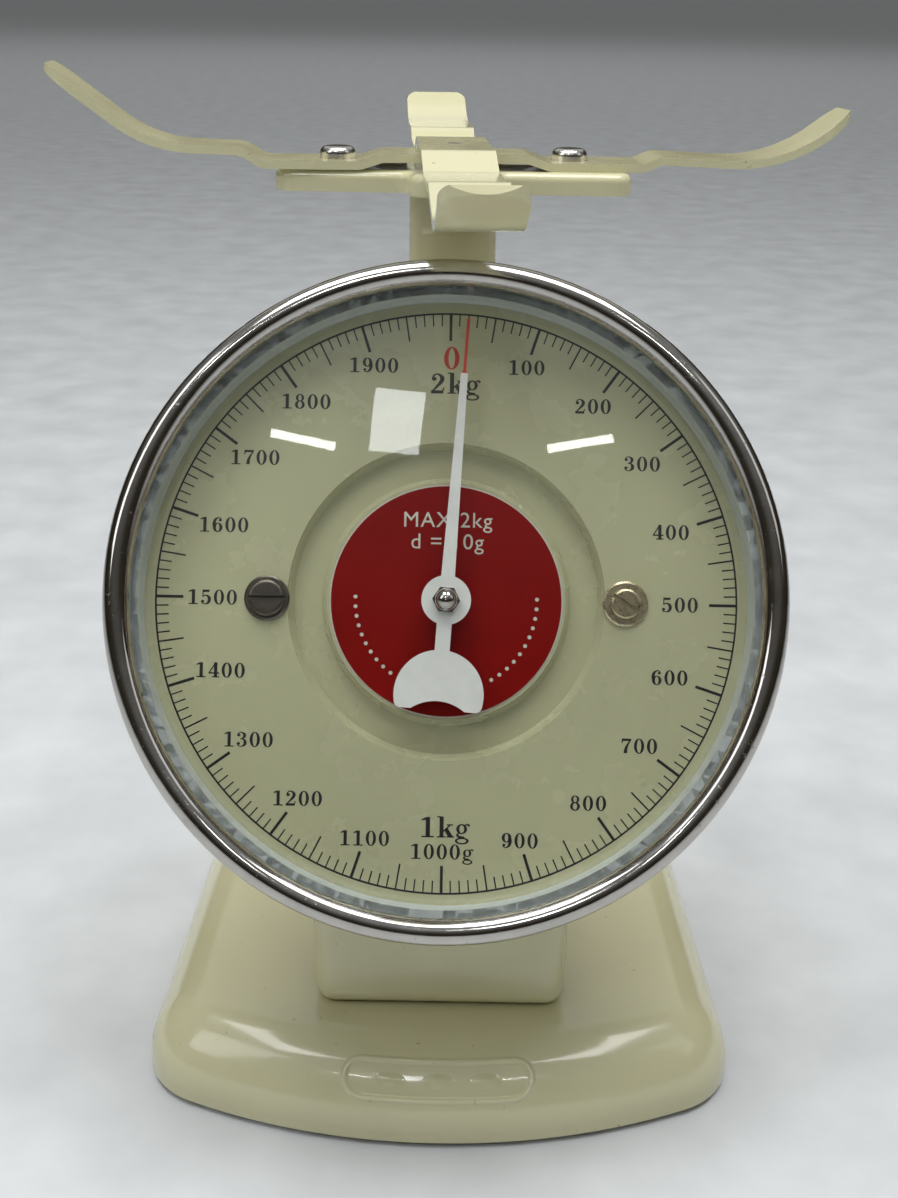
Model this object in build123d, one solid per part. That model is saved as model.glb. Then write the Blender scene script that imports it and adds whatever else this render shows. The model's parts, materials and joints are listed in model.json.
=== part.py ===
from build123d import *
import os
from math import acos, cos, pi, radians, sin, sqrt, tan

# Counter-top dial spring scale, 2 kg in 10 g steps. Millimetres and degrees.
# +Z is up, the dial faces -Y, and Z = 0 is the counter that the feet stand on.
# The weighing stem moves along the Z axis.

# ---------------------------------------------------------------- driving dimensions
SHEET = 1.0                    # wall of the pressed steel shells

BASE_HALF_FRONT = 70.6
BASE_HALF_REAR = 66.5
BASE_FRONT = -79.5
BASE_REAR = 60.0
BASE_BOW = 19.0                # how far the front edge bows out past its corners
BASE_REAR_BOW = 5.0
BASE_CORNER = 20.0
BASE_ROLL = 16.0               # radius of the rolled-over top edge
BASE_BOTTOM = 1.6
BASE_TOP = 20.5

FOOT_SPOTS = [(-48, -44), (48, -44), (-45, 38), (45, 38)]
FOOT_RADIUS = 7.0
FOOT_HEIGHT = 3.2

BODY_HALF = 29.8
BODY_FRONT = -56.0
BODY_REAR = 22.0
BODY_TOP = 176.0
BODY_CORNER = 5.0

DIAL_TILT = 25.0               # the dial leans back this far from upright
DIAL_CENTRE = (0.0, -49.2, 122.5)
CASE_RADIUS = 69.5
CASE_BACK = -9.0               # along the dial's own axis, from the dial face
CASE_RIM = 6.5
DIAL_RADIUS = 67.5
GROOVE_INNER = 25.8
GROOVE_OUTER = 34.4
GROOVE_DEPTH = 3.0
DIAL_SCREW_X = 38.7
BEZEL_RADIUS = 72.0
BEAD_RADIUS = 2.8
LENS_FLANGE = 67.8
LENS_SEAT = 7.2
LENS_DOME_FOOT = 62.6
LENS_DOME_START = 13.2
LENS_DOME_TOP = 19.0
LENS_WALL = 1.8

STEM_X = 19.7
STEM_Y = 13.0
STEM_CORNER = 3.0
STEM_BOTTOM = 100.0
PLATE_TOP = 208.0
PLATE_SHEET = 1.2
PLATE_RIM = 4.7
STRAP_WIDTH = 16.0
STRAP_SHEET = 1.8
STRAP_SCREW_X = 26.0
SPIDER_TWIST = 3.5             # the arms sit turned by this much on the plate

CAPACITY_G = 2000.0
REST_READING_G = 20.0
PINION_TEETH = 10
PINION_MODULE = 0.4
PRESSURE_ANGLE = 25.0
ADDENDUM = 0.8 * PINION_MODULE
DEDENDUM = 1.1 * PINION_MODULE
BACKLASH = 0.06
MESH_DEPTH = -25.0             # where the rack meets the pinion, along the dial axis
PINION_LENGTH = 9.0
SPINDLE_RADIUS = 1.25
RUNNING = 0.05                 # radial clearance of every running fit

SPRING_X = 18.0
SPRING_MEAN = 4.0
SPRING_WIRE = 0.5
LOOP_WIRE = 0.94 * SPRING_WIRE # the end loops are drawn a little thinner
SPRING_TURNS = 27
SPRING_PITCH = 1.15
PEG_RADIUS = 1.5
HANGER_PEG_Z = 160.0
CARRIAGE_PEG_Z = 106.0

# ---------------------------------------------------------------- values that follow
PITCH_RADIUS = PINION_MODULE * PINION_TEETH / 2
TRAVEL = 2 * pi * PITCH_RADIUS / cos(radians(DIAL_TILT))     # platform drop per turn
TRAVEL_UP = TRAVEL * REST_READING_G / CAPACITY_G
BODY_Z0 = BASE_TOP
HUMP_RISE = 1.6                # the side strap's raised middle; the other strap crosses over it
RACK_FRONT = -28.5
RACK_REAR = -24.5
RACK_BACK_X = 6.2
ROLLER_RADIUS = 3.0
ROLLER_X = RACK_BACK_X + ROLLER_RADIUS + 0.03
ROLLER_Z = 112.0
GUIDE_BOTTOM = 171.0
BAR_FRONT = STEM_Y / 2         # the hanger and carriage bars lie behind the stem
BAR_REAR = BAR_FRONT + 3.0
KNOB_Y = 16.5
HANGER_BAR_Y = (8.0, 11.0)

dial_plane = Plane(
    origin=DIAL_CENTRE,
    x_dir=(1, 0, 0),
    z_dir=(0, -cos(radians(DIAL_TILT)), sin(radians(DIAL_TILT))),
)
dial_frame = dial_plane.location


# ---------------------------------------------------------------- small helpers
def block(x0, x1, y0, y1, z0, z1):
    """A box given by its faces."""
    centre = Pos((x0 + x1) / 2, (y0 + y1) / 2, (z0 + z1) / 2)
    return centre * Box(x1 - x0, y1 - y0, z1 - z0)


def drum(radius, z0, z1, x=0, y=0):
    """A cylinder along Z from z0 to z1."""
    return Pos(x, y, (z0 + z1) / 2) * Cylinder(radius, z1 - z0)


def rod_y(radius, y0, y1, x, z):
    """A cylinder along Y from y0 to y1."""
    return Pos(x, (y0 + y1) / 2, z) * Rot(90, 0, 0) * Cylinder(radius, y1 - y0)


def rod_x(radius, x0, x1, y, z):
    """A cylinder along X from x0 to x1."""
    return Pos((x0 + x1) / 2, y, z) * Rot(0, 90, 0) * Cylinder(radius, x1 - x0)


def tablet(width, depth, corner, z0, z1):
    """A rounded rectangle, centred on the Z axis, from z0 to z1."""
    return Pos(0, 0, z0) * extrude(RectangleRounded(width, depth, corner), amount=z1 - z0)


def turned(*points):
    """A solid of revolution about Z from its (radius, z) outline."""
    outline = Polyline(*[(r, 0, z) for r, z in points], close=True)
    return revolve(make_face(outline), Axis.Z)


def screw(head_radius, head_height, shank_radius, length, slot=0.0):
    """A domed screw: the head stands on Z = 0, the shank hangs below."""
    head = drum(head_radius, 0, head_height)
    head = fillet(head.edges().sort_by(Axis.Z)[-1], min(head_height, head_radius) * 0.6)
    if slot:
        head -= block(-head_radius, head_radius, -slot / 2, slot / 2, head_height * 0.25, head_height + 1)
    return head + drum(shank_radius, -length, 0)


def at_spots(spots, shape):
    """The same solid at each (x, y) spot."""
    return Compound([Pos(x, y, 0) * shape for x, y in spots])


# ---------------------------------------------------------------- base
def base_block(inset):
    """The base as a solid, every face moved inward by inset, and open downward."""
    front_side = BASE_FRONT + BASE_BOW
    rear_side = BASE_REAR - BASE_REAR_BOW
    corners = [
        (-BASE_HALF_FRONT, front_side),
        (BASE_HALF_FRONT, front_side),
        (BASE_HALF_REAR, rear_side),
        (-BASE_HALF_REAR, rear_side),
    ]
    outline = [
        ThreePointArc(corners[0], (0, BASE_FRONT), corners[1]),
        Line(corners[1], corners[2]),
        ThreePointArc(corners[2], (0, BASE_REAR), corners[3]),
        Line(corners[3], corners[0]),
    ]
    plan = make_face(outline)
    plan = fillet(plan.vertices(), BASE_CORNER)
    if inset:
        plan = offset(plan, -inset)
    bottom = BASE_BOTTOM - inset
    solid = Pos(0, 0, bottom) * extrude(plan, amount=BASE_TOP - inset - bottom)
    top_edges = solid.faces().sort_by(Axis.Z)[-1].edges()
    return fillet(top_edges, BASE_ROLL - inset)


def body_screw_spots():
    return [(-19, -36), (19, -36), (-19, 8), (19, 8)]


def make_base():
    cover = base_block(0) - base_block(SHEET)
    cover -= at_spots(body_screw_spots(), drum(2.1, BASE_TOP - 3, BASE_TOP + 1))

    plate_z = FOOT_HEIGHT
    plate = base_block(SHEET + 0.3) & block(-90, 90, -100, 90, plate_z, plate_z + SHEET)
    plate -= at_spots(FOOT_SPOTS, drum(2.1, plate_z - 1, plate_z + 2))

    pillar = drum(4, plate_z + SHEET, BASE_TOP - SHEET) - drum(2, plate_z, plate_z + 9)
    foot = turned((2.1, 0.9), (4.9, 0.9), (4.9, 0), (FOOT_RADIUS - 0.8, 0), (FOOT_RADIUS, 0.8),
                  (FOOT_RADIUS - 0.9, FOOT_HEIGHT), (2.1, FOOT_HEIGHT))
    foot_screw = Pos(0, 0, 0.9) * Rot(180, 0, 0) * turned(
        (0, 0.6), (3.6, 0.6), (3.6, 0), (2, 0), (2, -10), (0, -10))
    return {
        "base_cover": cover,
        "base_plate": plate,
        "base_pillars": at_spots(FOOT_SPOTS, pillar),
        "rubber_feet": at_spots(FOOT_SPOTS, foot),
        "foot_screws": at_spots(FOOT_SPOTS, foot_screw),
    }


# ---------------------------------------------------------------- body
def body_block(inset, rear):
    """The upright housing as a solid: plumb below, cut back at the dial's slant above."""
    slant = tan(radians(DIAL_TILT))
    lean = cos(radians(DIAL_TILT))
    back = dial_plane.from_local_coords(Vector(0, 0, CASE_BACK))
    seat_y = back.Y + inset / lean
    front = BODY_FRONT + inset
    bottom = BODY_Z0 + inset
    top = BODY_TOP - inset
    knee = back.Z + (front - seat_y) / slant
    brow = seat_y + (top - back.Z) * slant
    side = Polyline((front, bottom), (front, knee), (brow, top), (rear, top), (rear, bottom), close=True)
    half = BODY_HALF - inset
    solid = extrude(Plane.YZ * make_face(side), amount=half, both=True)
    edges = solid.edges().filter_by(lambda e: e.center().Y < rear - 0.01)
    return fillet(edges, BODY_CORNER - inset)


def cover_screw_spots():
    return [(-24, 31), (24, 31), (-24, 165), (24, 165)]


def make_body():
    shell = body_block(0, BODY_REAR) - body_block(SHEET, BODY_REAR + 5)
    inner = BODY_HALF - SHEET
    for x, z in cover_screw_spots():
        wall = inner if x > 0 else -inner
        low, high = min(x - 3.5, wall), max(x + 3.5, wall)
        shell += block(max(low, -inner - 0.2), min(high, inner + 0.2), BODY_REAR - 5, BODY_REAR,
                       z - 3.5, z + 3.5)
        shell -= rod_y(1.3, BODY_REAR - 6, BODY_REAR + 1, x, z)
    shell -= tablet(24.0, 17.3, 4, BODY_TOP - 4, BODY_TOP + 1)
    shell -= drum(2 + RUNNING, BODY_TOP - 4, BODY_TOP + 1, y=KNOB_Y)
    shell -= at_spots(body_screw_spots(), drum(2, BODY_Z0 - 1, BODY_Z0 + 3))
    shell -= dial_frame * drum(4, CASE_BACK - 6, CASE_BACK + 6)
    shell -= dial_frame * at_spots(case_screw_spots(), drum(1.5, CASE_BACK - 6, CASE_BACK + 6))

    rear_cover = Pos(0, 0, (BODY_Z0 + BODY_TOP) / 2) * Rot(-90, 0, 0) * Pos(0, 0, BODY_REAR) * extrude(
        RectangleRounded(2 * BODY_HALF, BODY_TOP - BODY_Z0, BODY_CORNER), amount=SHEET)
    rear_cover = fillet(rear_cover.faces().sort_by(Axis.Y)[-1].edges(), 0.6)
    cover_screws = []
    for x, z in cover_screw_spots():
        rear_cover -= rod_y(1.6, BODY_REAR - 1, BODY_REAR + 3, x, z)
        place = Pos(x, BODY_REAR + SHEET, z) * Rot(-90, 0, 0)
        cover_screws.append(place * screw(2.8, 1.8, 1.3, 5.5, slot=0.7))

    base_screw = screw(3.6, 2.4, 2, 5)
    under = Pos(0, 0, BASE_TOP - SHEET) * Rot(180, 0, 0) * base_screw
    nut = Pos(0, 0, BODY_Z0 + SHEET) * (extrude(RegularPolygon(3.9, 6), amount=2.4) - drum(2, -1, 4))
    return {
        "body_shell": shell,
        "rear_cover": rear_cover,
        "rear_cover_screws": Compound(cover_screws),
        "body_screws": at_spots(body_screw_spots(), under),
        "body_nuts": at_spots(body_screw_spots(), nut),
    }


# ---------------------------------------------------------------- dial case, dial, lens, bezel
def case_screw_spots():
    return [(-20, -20), (20, -20), (-20, 30), (20, 30)]


def make_case():
    case = drum(CASE_RADIUS, CASE_BACK, CASE_RIM)
    case = fillet(case.edges().sort_by(Axis.Z)[0], 4)
    hollow = drum(CASE_RADIUS - 0.9, CASE_BACK + 0.9, CASE_RIM + 1)
    case -= fillet(hollow.edges().sort_by(Axis.Z)[0], 3.1)
    case -= drum(4, CASE_BACK - 1, CASE_BACK + 2)
    case -= at_spots(case_screw_spots(), drum(1.6, CASE_BACK - 1, CASE_BACK + 2))

    floor = CASE_BACK + 0.9
    case_screw = Pos(0, 0, floor) * screw(3, 1.8, 1.5, 4.4, slot=0.7)
    spots = [(-DIAL_SCREW_X, 0), (DIAL_SCREW_X, 0)]
    pillar = drum(4, floor, -0.8) - drum(1.7, -6, 0)
    pillars = at_spots(spots, pillar)
    return {
        "dial_case": case,
        "case_screws": at_spots(case_screw_spots(), case_screw),
        "dial_pillars": pillars,
    }


def make_dial():
    step = 1.2                       # the groove's walls lean by this much
    dial = turned(
        (2.4, 0), (GROOVE_INNER, 0), (GROOVE_INNER + step, -GROOVE_DEPTH),
        (GROOVE_OUTER - step, -GROOVE_DEPTH), (GROOVE_OUTER, 0), (DIAL_RADIUS, 0),
        (DIAL_RADIUS, -0.8), (GROOVE_OUTER - 0.4, -0.8), (GROOVE_OUTER - step - 0.4, -GROOVE_DEPTH - 0.8),
        (GROOVE_INNER + step + 0.4, -GROOVE_DEPTH - 0.8), (GROOVE_INNER + 0.4, -0.8), (2.4, -0.8),
    )
    spots = [(-DIAL_SCREW_X, 0), (DIAL_SCREW_X, 0)]
    dial -= at_spots(spots, drum(1.8, -2, 1))
    disc = turned((2.4, 0), (24.9, 0), (24.9, 0.3), (2.4, 0.3))
    washer = turned((1.9, 0), (4.9, 0), (4.9, 0.5), (4.5, 0.8), (1.9, 0.8))
    left = Pos(-DIAL_SCREW_X, 0, 0) * (washer + Pos(0, 0, 0.8) * screw(4.0, 1.3, 1.7, 6.4, slot=0.8))
    head = Pos(0, 0, 0.8) * Rot(0, 0, -33) * screw(3.3, 1.1, 1.7, 6.4, slot=0.9)
    right = Pos(DIAL_SCREW_X, 0, 0) * (washer + head)
    return {
        "dial_plate": dial,
        "centre_disc": disc,
        "dial_screw_left": left,
        "dial_screw_right": right,
    }


def dome_arc(foot_r, foot_z, top_z):
    """Arc of a sphere in the XZ plane, from its rim up to the Z axis."""
    rise = top_z - foot_z
    sphere_r = (foot_r ** 2 + rise ** 2) / (2 * rise)
    middle = foot_r / 2
    sag = sphere_r - sqrt(sphere_r ** 2 - middle ** 2)
    return ThreePointArc((foot_r, 0, foot_z), (middle, 0, top_z - sag), (0, 0, top_z))


def make_glazing():
    spacer = turned((65.2, 0), (CASE_RADIUS - 1.1, 0), (CASE_RADIUS - 1.1, LENS_SEAT), (65.2, LENS_SEAT))

    top_z = LENS_SEAT + LENS_WALL
    foot = (LENS_DOME_FOOT, 0, LENS_DOME_START)
    inner_foot = (LENS_DOME_FOOT - 1.4, 0, LENS_DOME_START - 1.5)
    outer_dome = dome_arc(LENS_DOME_FOOT, LENS_DOME_START, LENS_DOME_TOP)
    inner_dome = dome_arc(inner_foot[0], inner_foot[2], LENS_DOME_TOP - LENS_WALL)
    skirt = Polyline(foot, (LENS_DOME_FOOT + 3, 0, top_z), (LENS_FLANGE, 0, top_z),
                     (LENS_FLANGE, 0, LENS_SEAT), (LENS_DOME_FOOT + 1.9, 0, LENS_SEAT), inner_foot)
    axis_edge = Line((0, 0, LENS_DOME_TOP - LENS_WALL), (0, 0, LENS_DOME_TOP))
    lens = revolve(make_face([outer_dome, *skirt.edges(), inner_dome, axis_edge]), Axis.Z)

    bead_z = 10.0
    bead_r = BEZEL_RADIUS - BEAD_RADIUS
    ring = turned((CASE_RADIUS + 0.05, -4), (CASE_RADIUS + 0.95, -4), (CASE_RADIUS + 0.95, bead_z),
                  (CASE_RADIUS + 0.05, bead_z))
    bead = Pos(0, 0, bead_z) * Torus(bead_r, BEAD_RADIUS)
    seat = turned((60, 0), (LENS_FLANGE + 0.1, 0), (LENS_FLANGE + 0.1, top_z + 0.02), (60, top_z + 0.02))
    under = turned((60, 0), (CASE_RADIUS + 0.05, 0), (CASE_RADIUS + 0.05, 7.4), (60, 7.4))
    bezel = ring + bead - seat - under
    return {"spacer_ring": spacer, "glass_lens": lens, "bezel": bezel}


# ---------------------------------------------------------------- pointer and its gear
def make_pointer():
    lift = 4.0
    sheet = 0.5
    needle = make_face(Polyline(
        (-1.5, 3), (-0.75, 48.7), (-0.32, 49.6), (-0.32, 60.7), (0, 61.0), (0.32, 60.7),
        (0.32, 49.6), (0.75, 48.7), (1.5, 3), close=True))
    hub = Circle(5.3)
    neck = Pos(0, -8) * Rectangle(3.2, 10)
    moon = Pos(0, -20.3) * Circle(9.6) & Pos(0, -15) * Rectangle(30, 17)
    moon -= Pos(0, -31.2) * Circle(9.6)
    moon = fillet(moon.vertices().sort_by(Axis.Y)[:2], 1.4)
    plan = needle + hub + neck + moon - Circle(SPINDLE_RADIUS)
    pointer = Pos(0, 0, lift) * extrude(plan, amount=sheet)

    collet = turned((SPINDLE_RADIUS, lift - 1.6), (3.2, lift - 1.6), (3.2, lift), (SPINDLE_RADIUS, lift))
    cap = extrude(RegularPolygon(3.0, 6), amount=1.6) + Pos(0, 0, 1.6) * Sphere(2.45)
    cap &= block(-4, 4, -4, 4, 0, 9)
    cap -= drum(SPINDLE_RADIUS, -1, 2.0)
    nut = Pos(0, 0, lift + sheet) * cap
    spindle = drum(SPINDLE_RADIUS, -34, lift + sheet + 1.9)
    pose = Rot(0, 0, -360 * REST_READING_G / CAPACITY_G)
    return {
        "pointer": pose * pointer,
        "pointer_collet": collet,
        "acorn_nut": pose * nut,
        "spindle": spindle,
    }


def involute(angle):
    return tan(angle) - angle


def make_pinion():
    """Spur pinion from involute flanks, with one tooth centred on local +X."""
    alpha = radians(PRESSURE_ANGLE)
    base_r = PITCH_RADIUS * cos(alpha)
    tip_r = PITCH_RADIUS + ADDENDUM
    root_r = PITCH_RADIUS - DEDENDUM
    half_pitch = (pi * PINION_MODULE / 2 - BACKLASH) / 2 / PITCH_RADIUS

    def half_angle(r):
        return half_pitch + involute(alpha) - involute(acos(min(1.0, base_r / r)))

    def spot(r, angle):
        return (r * cos(angle), r * sin(angle))

    flank = [base_r + (tip_r - base_r) * k / 3 for k in range(4)]
    lower = [spot(root_r * 0.9, -half_angle(base_r))] + [spot(r, -half_angle(r)) for r in flank]
    upper = [(x, -y) for x, y in reversed(lower)]
    tooth = make_face(Polyline(*lower, *upper, close=True))
    plan = Circle(root_r)
    for k in range(PINION_TEETH):
        plan += Rot(0, 0, 360 * k / PINION_TEETH) * tooth
    plan -= Circle(SPINDLE_RADIUS)
    return Pos(0, 0, MESH_DEPTH - PINION_LENGTH / 2) * extrude(plan, amount=PINION_LENGTH)


def make_rack():
    """Upright rack whose tooth lines lie along the tilted pinion axis."""
    pitch = pi * PINION_MODULE
    alpha = radians(PRESSURE_ANGLE)
    half = (pitch / 2 - BACKLASH) / 2
    tip_x = PITCH_RADIUS - ADDENDUM
    root_x = PITCH_RADIUS + DEDENDUM
    low, high = -7, 17
    outline = [(RACK_BACK_X + 2, (high + 1) * pitch), (RACK_BACK_X + 2, (low - 1) * pitch),
               (root_x, (low - 1) * pitch)]
    for k in range(low, high):
        middle = (k + 0.5) * pitch
        root_half = half + DEDENDUM * tan(alpha)
        tip_half = half - ADDENDUM * tan(alpha)
        outline += [(root_x, middle - root_half), (tip_x, middle - tip_half),
                    (tip_x, middle + tip_half), (root_x, middle + root_half)]
    outline.append((root_x, (high + 1) * pitch))
    bar = Pos(0, 0, -60) * extrude(make_face(Polyline(*outline, close=True)), amount=60)
    blank = block(0, RACK_BACK_X, RACK_FRONT, RACK_REAR, 106, 134)
    rack = (dial_frame * bar) & blank
    for z in (126.5, 131.0):
        rack -= rod_y(0.8, RACK_FRONT - 1, RACK_REAR + 1, 4.6, z)
    return rack


def make_movement():
    seat = CASE_BACK - SHEET
    bush_bore = SPINDLE_RADIUS + RUNNING
    front_bush = turned((bush_bore, seat - 1.5), (4, seat - 1.5), (4, CASE_BACK + 0.9),
                        (5.5, CASE_BACK + 0.9), (5.5, CASE_BACK + 1.7), (bush_bore, CASE_BACK + 1.7))
    bridge_z = -33.0
    spots = [(-15, -5), (-15, 5)]
    bridge = block(-19, 2.3, -8, 8, bridge_z, bridge_z + 1.5)
    bridge = fillet(bridge.edges().filter_by(Axis.Z), 2)
    bridge -= drum(2.1, bridge_z - 1, bridge_z + 3)
    bridge -= at_spots(spots, drum(1.3, bridge_z - 1, bridge_z + 3))
    pillar = drum(2.5, bridge_z + 1.5, seat) - drum(1.3, bridge_z + 1, bridge_z + 9)
    bridge_screw = Pos(0, 0, bridge_z) * Rot(180, 0, 0) * screw(2.4, 1.5, 1.3, 6)
    rear_bush = turned((bush_bore, bridge_z - 0.7), (2.1, bridge_z - 0.7), (2.1, bridge_z + 1.5),
                       (2.9, bridge_z + 1.5), (2.9, bridge_z + 2.2), (bush_bore, bridge_z + 2.2))
    post = rod_y(2.2, -50, RACK_FRONT - 0.2, ROLLER_X, ROLLER_Z)
    post += rod_y(1.2, -30, RACK_REAR + 0.9, ROLLER_X, ROLLER_Z)
    post -= dial_frame * block(-40, 40, -80, 80, seat, 30)
    clip = rod_y(2.2, RACK_REAR + 0.2, RACK_REAR + 0.7, ROLLER_X, ROLLER_Z)
    clip -= rod_y(1.2, -30, -20, ROLLER_X, ROLLER_Z)
    roller = rod_y(ROLLER_RADIUS, RACK_FRONT + 0.2, RACK_REAR - 0.2, ROLLER_X, ROLLER_Z)
    roller -= rod_y(1.2 + RUNNING, -40, -20, ROLLER_X, ROLLER_Z)
    groove = rod_y(ROLLER_RADIUS + 1, -27, -26, ROLLER_X, ROLLER_Z)
    groove -= rod_y(ROLLER_RADIUS - 0.4, -28, -25, ROLLER_X, ROLLER_Z)
    return {
        "spindle_front_bush": dial_frame * front_bush,
        "movement_bridge": dial_frame * bridge,
        "bridge_pillars": dial_frame * at_spots(spots, pillar),
        "bridge_screws": dial_frame * at_spots(spots, bridge_screw),
        "spindle_rear_bush": dial_frame * rear_bush,
        "roller_post": Compound([post, clip]),
        "rack_roller": roller - groove,
        "pinion": dial_frame * make_pinion(),
        "rack": make_rack(),
    }


# ---------------------------------------------------------------- weighing stem and its guides
def make_stem():
    top = PLATE_TOP - PLATE_SHEET
    stem = tablet(STEM_X, STEM_Y, STEM_CORNER, STEM_BOTTOM, top)
    stem -= tablet(STEM_X - 2.4, STEM_Y - 2.4, STEM_CORNER - 1.2, STEM_BOTTOM - 1, top + 1)
    plug = tablet(STEM_X - 2.4, STEM_Y - 2.4, STEM_CORNER - 1.2, top - 9, top)
    plug -= drum(2, top - 10, top + 1)
    foot = tablet(STEM_X - 2.4, STEM_Y - 2.4, STEM_CORNER - 1.2, STEM_BOTTOM, STEM_BOTTOM + 13)
    foot -= drum(3, STEM_BOTTOM - 1, STEM_BOTTOM + 9)
    guide_rod = drum(3, 44, STEM_BOTTOM + 9)
    guide_rod = chamfer(guide_rod.edges().sort_by(Axis.Z)[0], 0.8)

    pin_z = GUIDE_BOTTOM - TRAVEL_UP - 0.01 - 1.5
    stop_pin = rod_x(1.5, -12.9, 12.9, 0, pin_z)
    stem -= rod_x(1.5, -15, 15, 0, pin_z)

    bar_z = (STEM_BOTTOM + 0.5, STEM_BOTTOM + 10.5)
    bar = block(-24, 24, BAR_FRONT, BAR_REAR, *bar_z)
    bar = fillet(bar.edges().filter_by(Axis.Y), 4)
    bar_screws = []
    for x in (-5.5, 5.5):
        hole = rod_y(1.2, 3.4, BAR_REAR + 1, x, STEM_BOTTOM + 5.5)
        bar -= hole
        stem -= hole
        foot -= hole
        place = Pos(x, BAR_REAR, STEM_BOTTOM + 5.5) * Rot(-90, 0, 0)
        bar_screws.append(place * screw(2.4, 1.6, 1.2, BAR_REAR - 3.5, slot=0.6))
    pegs = []
    for x in (-SPRING_X, SPRING_X):
        bar -= rod_y(PEG_RADIUS, 0, 20, x, CARRIAGE_PEG_Z)
        pegs.append(spring_peg(x, CARRIAGE_PEG_Z, BAR_REAR))

    arm = block(3.4, RACK_BACK_X, RACK_REAR, -STEM_Y / 2, 122, 134)
    arm += block(-8, 8, -STEM_Y / 2 - 2, -STEM_Y / 2, 120, 136)
    arm_screws = []
    for x in (-5.6, -1.0):
        hole = rod_y(1.2, -STEM_Y / 2 - 5, -STEM_Y / 2 + 2, x, 128)
        arm -= hole
        stem -= hole
        place = Pos(x, -STEM_Y / 2 - 2, 128) * Rot(90, 0, 0)
        arm_screws.append(place * screw(2.1, 1.4, 1.2, 3.8, slot=0.5))
    rack_screws = []
    for z in (126.5, 131.0):
        arm -= rod_y(0.8, RACK_REAR - 1, RACK_REAR + 4.2, 4.6, z)
        rack_screws.append(Pos(4.6, RACK_FRONT, z) * Rot(90, 0, 0) * screw(1.5, 1.0, 0.8, 8))
    return {
        "stem_tube": stem,
        "stem_plugs": Compound([plug, foot]),
        "guide_rod": guide_rod,
        "stop_pin": stop_pin,
        "carriage_bar": bar,
        "carriage_pegs": Compound(pegs),
        "rack_arm": arm,
        "stem_screws": Compound(bar_screws + arm_screws + rack_screws),
    }


def spring_peg(x, z, rear):
    """A riveted peg that a spring's loop hangs on, with a small retaining head."""
    return rod_y(PEG_RADIUS, -3.5, rear, x, z) + rod_y(2.3, -4.4, -3.5, x, z)


def make_guides():
    gap = 2 * RUNNING
    collar = tablet(27, 19.3, 5, BODY_TOP, BODY_TOP + 2.2)
    collar = fillet(collar.faces().sort_by(Axis.Z)[-1].edges(), 0.8)
    collar += tablet(24, 17.3, 4, GUIDE_BOTTOM, BODY_TOP)
    collar -= tablet(STEM_X + gap, STEM_Y + gap, STEM_CORNER + RUNNING, GUIDE_BOTTOM - 1, BODY_TOP + 4)

    inner = BODY_HALF - SHEET
    bracket = block(-inner, inner, -9, 9, 72, 74)
    for side in (-1, 1):
        wall = side * inner
        bracket += block(min(wall, wall - 2 * side), max(wall, wall - 2 * side), -9, 9, 60, 74)
    bracket -= drum(6, 70, 76)
    bush = turned((3 + RUNNING, 66), (6, 66), (6, 74), (8.5, 74), (8.5, 76), (3 + RUNNING, 76))
    buffer_top = STEM_BOTTOM - (TRAVEL - TRAVEL_UP) - 0.4
    buffer = turned((4, 76), (7.2, 76), (6.2, buffer_top), (4, buffer_top))
    return {
        "top_guide": collar,
        "guide_bracket": bracket,
        "lower_bush": bush,
        "stop_buffer": buffer,
    }


# ---------------------------------------------------------------- springs and zero adjuster
def make_spring():
    """Extension spring along Z at the origin of X and Y, with a full loop at each end."""
    reach = SPRING_MEAN - LOOP_WIRE - 0.03 - PEG_RADIUS
    top_loop = HANGER_PEG_Z - reach
    low_loop = CARRIAGE_PEG_Z + reach
    height = SPRING_TURNS * SPRING_PITCH
    start = (top_loop + low_loop - height) / 2
    coil_path = Helix(SPRING_PITCH, height, SPRING_MEAN, center=(0, 0, start))
    wire_plane = Plane(origin=coil_path @ 0, z_dir=coil_path % 0)
    coil = sweep(wire_plane * Circle(SPRING_WIRE), path=coil_path)
    overlap = 0.3                    # the loops start inside the coil's ends, so all is one wire
    upper = spring_loop(start + height - overlap, top_loop)
    lower = mirror(spring_loop(-start - overlap, -low_loop), Plane.XY)
    return coil + upper + lower


def spring_loop(z_from, z_centre):
    """A straight rise at +X and a three-quarter ring about z_centre."""
    rise = Line((SPRING_MEAN, 0, z_from), (SPRING_MEAN, 0, z_centre))
    ring = Pos(0, 0, z_centre) * Rot(90, 0, 0) * CenterArc((0, 0, 0), SPRING_MEAN, 0, 285)
    section = Plane(origin=(SPRING_MEAN, 0, z_from), z_dir=(0, 0, 1)) * Circle(LOOP_WIRE)
    return sweep(section, path=Wire([rise, ring]))


def make_springs():
    spring = make_spring()
    left = mirror(spring, Plane.YZ)
    return {"spring_left": Pos(-SPRING_X, 0, 0) * left, "spring_right": Pos(SPRING_X, 0, 0) * spring}


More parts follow.
